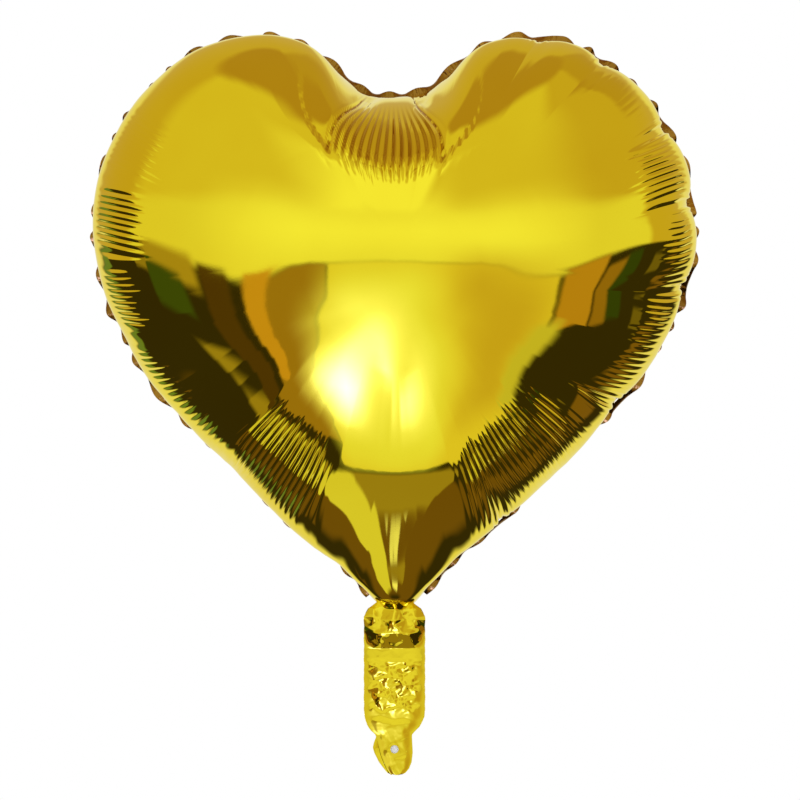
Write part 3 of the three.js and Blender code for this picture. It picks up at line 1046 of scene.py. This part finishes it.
def foil_material(name, gold, deep, roughness, creasing):
    """Metallised film: a mirror with faint orange peel, rubbed patches and creases."""
    material, tree, shader = new_material(name)
    place = object_place(tree)
    grain = noise(tree, place, 900.0, 2.0)
    # The fine wrinkles of the geometry have a sharper valley than its points can follow.
    wave = math_node(tree, "SINE", math_node(tree, "MULTIPLY", point_mark(tree, "turns"), math.pi))
    wave = math_node(tree, "ABSOLUTE", wave)
    valley = math_node(tree, "MULTIPLY", math_node(tree, "POWER", wave, 8.0), point_mark(tree, "pleats"))
    normal = bumped(tree, math_node(tree, "MULTIPLY", valley, -1.0), 0.25)
    normal = bumped(tree, noise(tree, place, 24.0, 1.0), 0.05, normal)
    if creasing:
        cells = add_node(tree, "TexVoronoi", {"Vector": place, "Scale": 330.0}, feature="DISTANCE_TO_EDGE")
        normal = bumped(tree, cells.outputs["Distance"], creasing, normal)
    # Painted shade: the pleats' valleys and the pillow's grooves are coloured a darker gold where the foil would
    # mirror itself.
    fold_shade = math_node(tree, "MULTIPLY", mapped(tree, wave, 1, 0, 0.45, 0.85), point_mark(tree, "folds"))
    height = add_node(tree, "SeparateXYZ", {0: place}).outputs[2]
    # Painted shade: below the neck the gold turns darker and more orange.
    on_tail = mapped(tree, height, 1, 0, (NECK_Z + 1) * MM, (NECK_Z + 9) * MM)
    colour = colour_mix(tree, mapped(tree, noise(tree, place, 9.0), 0, 1, 0.35, 0.7), gold, deep)
    colour = colour_mix(tree, on_tail, colour, TAIL_SHADED_GOLD)
    colour = colour_mix(tree, math_node(tree, "MULTIPLY", fold_shade, 0.85), colour, FOLD_SHADE_GOLD)
    scuffs = mapped(tree, noise(tree, place, 55.0, 5.0), 0, roughness, 0.5, 0.8)
    peel = mapped(tree, grain, roughness * 0.6, roughness * 1.2)
    set_inputs(tree, shader, {
        "Base Color": colour,
        "Metallic": 1.0,
        "Roughness": math_node(tree, "ADD", scuffs, peel),
        "Normal": bumped(tree, grain, 0.002, normal),
    })
    return material


def clear_film_material():
    """The valve's thin clear film, hazy and faintly wrinkled."""
    material, tree, shader = new_material("clear_film")
    place = object_place(tree)
    cloud = noise(tree, place, 120.0)
    set_inputs(tree, shader, {
        "Base Color": colour_mix(tree, cloud, FILM_CLOUD, FILM_CLEAR),
        "Roughness": mapped(tree, cloud, 0.12, 0.35),
        "Alpha": 0.3,
        "IOR": 1.5,
        "Normal": bumped(tree, noise(tree, place, 260.0, 2.0), 0.15),
    })
    return material


def paint():
    """Gives every piece its slot's material."""
    finishes = {
        "gold_foil": foil_material("gold_foil", GOLD, DEEP_GOLD, 0.035, 0),
        # its colours hold painted shade as well as the sealed film's own tone
        "sealed_foil": foil_material("sealed_foil", SEALED_GOLD_AND_SHADE, DEEP_SEALED_AND_SHADE, 0.16, 0.25),
        "clear_film": clear_film_material(),
    }
    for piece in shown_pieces():
        piece.data.materials.clear()
        piece.data.materials.append(finishes[piece.get("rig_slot", "clear_film")])


paint()


# ---- light, floor and camera ----

# What the foil mirrors, as soft boxes seen from the balloon, each laid over those before it:
# (azimuth, half width, elevation, half height, softness) in degrees, brightness, tint. Azimuth 0
# is behind the camera and 90 is to the right. A box at 180 lies on both sides of it.
NEUTRAL, SOFT, WARM, ORANGE = (1, 1, 1), (1, 0.9, 0.7), (1, 0.78, 0.55), (1, 0.57, 0.35)
LEMON, GREEN, CREAM = (1, 1.07, 1.3), (0.5, 0.85, 0.6), (1, 1.05, 3)
ALL_ROUND = 400
SOFT_BOXES = (
    (0, ALL_ROUND, 60, 70, 10, 0.6, WARM),  # ceiling
    (-20, 55, 40, 44, 24, 0.72, SOFT),
    (115, 30, 58, 20, 14, 0.5, (1, 0.7, 0.5)),
    (0, ALL_ROUND, 87, 16, 8, 0.46, (1, 0.65, 0.5)),
    (-4, 15, 28, 24, 16, 1.0, LEMON),  # brighter middle of the ceiling
    (-5, 75, 5, 10, 7, 0.8, NEUTRAL),  # lit wall under it
    (0, 34, 7, 9, 20, 0.98, LEMON),
    (0, ALL_ROUND, -51, 48, 2, 0.035, WARM),  # dark room below the horizon
    (0, ALL_ROUND, -72, 12, 8, 0.16, ORANGE),
    (-56, 12, -4, 3, 3, 0.42, WARM),  # things on the left
    (-58, 9, -10, 4, 3, 0.1, GREEN),
    (-72, 5, -6, 3, 2, 0.3, WARM),
    (-46, 10, -35, 9, 5, 0.34, WARM),
    (-39, 4, -20, 18, 2, 0.08, ORANGE),
    (8, 25.5, -24, 21, 1.2, 0.78, SOFT),  # window behind the camera
    (-25, 7, -20, 17, 1.5, 0.34, (1, 0.62, 0.4)),  # its dark frame
    (-29.5, 2, -11, 9, 1, 0.6, ORANGE),
    (24, 8, -17, 15, 14, 0.62, WARM),
    (-3, 14, -24, 20, 14, 0.86, LEMON),
    (-8, 9, -22, 9, 16, 1.5, (1, 1.1, 4)),
    (-9, 5, -23, 5, 12, 5, (1, 1.2, 9)),  # lamp in the window
    (41, 6, -10, 7, 1.5, 0.5, ORANGE),  # things on the right
    (34, 4, -23, 9, 5, 0.6, NEUTRAL),
    (52, 4, -11, 5, 2, 0.3, ORANGE),
    (60, 5, -10, 5, 3, 0.07, GREEN),
    (84, 6, -14, 5, 3, 0.16, WARM),
    (108, 12, -34, 11, 5, 0.2, ORANGE),
    (46, 28, -50, 3, 2, 0.04, WARM),
    (8, 28, -61, 13, 4, 0.34, WARM),  # floor
    (-44, 28, -64, 16, 5, 0.72, NEUTRAL),
    (4, 6, -78, 3, 4, 1.0, CREAM),
    (-95, 25, -46, 5, 4, 0.15, ORANGE),
    (180, 46, -6, 38, 10, 0.85, (1, 0.98, 0.8)),  # backdrop
    (-125, 7, -14, 14, 5, 0.3, GREEN),
)
UNLIT = (0.05, 0.05, 0.05, 1)
WHITE = (1, 1, 1, 1)

FLOOR_DROP = 150.0
FLOOR_RADIUS = 1200.0
FLOOR_POINTS = 96
LAMP_PLACE = (-0.7, -0.9, 1.9)  # metres
LAMP_TARGET = (0, 0, 0.3)
LAMP_SIZE = 1.6
LAMP_WATTS = 18
VIEW_HEIGHT = 494.4  # millimetres that the picture is high at the balloon
VIEW_CENTRE = (3.4, 231.8)
CAMERA_DISTANCE = 2600.0
SENSOR = 36.0


def soft_mask(tree, value, centre, half, soft):
    """1 where value is within half of centre, fading to 0 over soft."""
    away = math_node(tree, "ABSOLUTE", math_node(tree, "SUBTRACT", value, centre))
    return mapped(tree, away, 0, 1, half + soft / 2, half - soft / 2, interpolation_type="SMOOTHSTEP")


def studio_world():
    """The world: soft boxes for the foil to mirror, and plain white for the camera."""
    world = bpy.data.worlds.new("studio")
    bpy.context.scene.world = world
    world.use_nodes = True
    tree = world.node_tree
    direction = add_node(tree, "TexCoord", {}).outputs["Generated"]
    x, y, z = add_node(tree, "SeparateXYZ", {0: direction}).outputs
    elevation = math_node(tree, "DEGREES", math_node(tree, "ARCSINE", z))
    back = math_node(tree, "MULTIPLY", y, -1.0)
    azimuth = math_node(tree, "DEGREES", math_node(tree, "ARCTAN2", x, back))
    either_side = math_node(tree, "ABSOLUTE", azimuth)
    colour = UNLIT
    for az, wide, el, high, soft, level, tint in SOFT_BOXES:
        across = soft_mask(tree, either_side if az == 180 else azimuth, az, wide, soft)
        mask = math_node(tree, "MULTIPLY", across, soft_mask(tree, elevation, el, high, soft))
        colour = colour_mix(tree, mask, colour, (*(level * t for t in tint), 1))
    seen = add_node(tree, "LightPath", {}).outputs["Is Camera Ray"]
    colour = colour_mix(tree, seen, colour, WHITE)
    set_inputs(tree, tree.nodes["Background"], {"Color": colour})


def floor():
    """A plain pale disc under the balloon. The foil mirrors the studio instead of it."""
    turns = np.linspace(0, 2 * np.pi, FLOOR_POINTS, endpoint=False)
    rim = np.column_stack([np.cos(turns), np.sin(turns)]) * FLOOR_RADIUS
    points = np.insert(rim, 2, -FLOOR_DROP, axis=1) * MM
    disc = new_mesh_object("floor", points, [range(FLOOR_POINTS)])
    material, tree, shader = new_material("floor")
    shade = noise(tree, object_place(tree), 6.0)
    set_inputs(tree, shader, {"Base Color": colour_mix(tree, shade, *FLOOR_SHADES), "Roughness": 0.7})
    disc.data.materials.append(material)
    disc.visible_glossy = False


def soft_light():
    """A large lamp above and to the left of the camera, which the foil doesn't mirror."""
    light = bpy.data.lights.new("soft_light", "AREA")
    light.size = LAMP_SIZE
    light.energy = LAMP_WATTS
    lamp = bpy.data.objects.new("soft_light", light)
    lamp.location = LAMP_PLACE
    aim = Vector(LAMP_PLACE) - Vector(LAMP_TARGET)
    lamp.rotation_euler = aim.to_track_quat("Z", "Y").to_euler()
    lamp.visible_glossy = False
    bpy.context.scene.collection.objects.link(lamp)


def camera():
    """A long lens level with the middle of the balloon."""
    data = bpy.data.cameras.new("camera")
    data.sensor_width = SENSOR
    data.lens = SENSOR * CAMERA_DISTANCE / VIEW_HEIGHT
    data.clip_end = 20
    obj = bpy.data.objects.new("camera", data)
    obj.location = (VIEW_CENTRE[0] * MM, -CAMERA_DISTANCE * MM, VIEW_CENTRE[1] * MM)
    obj.rotation_euler = (math.pi / 2, 0, 0)
    bpy.context.scene.collection.objects.link(obj)
    bpy.context.scene.camera = obj
    bpy.context.scene.view_settings.view_transform = "Standard"


studio_world()
floor()
soft_light()
camera()
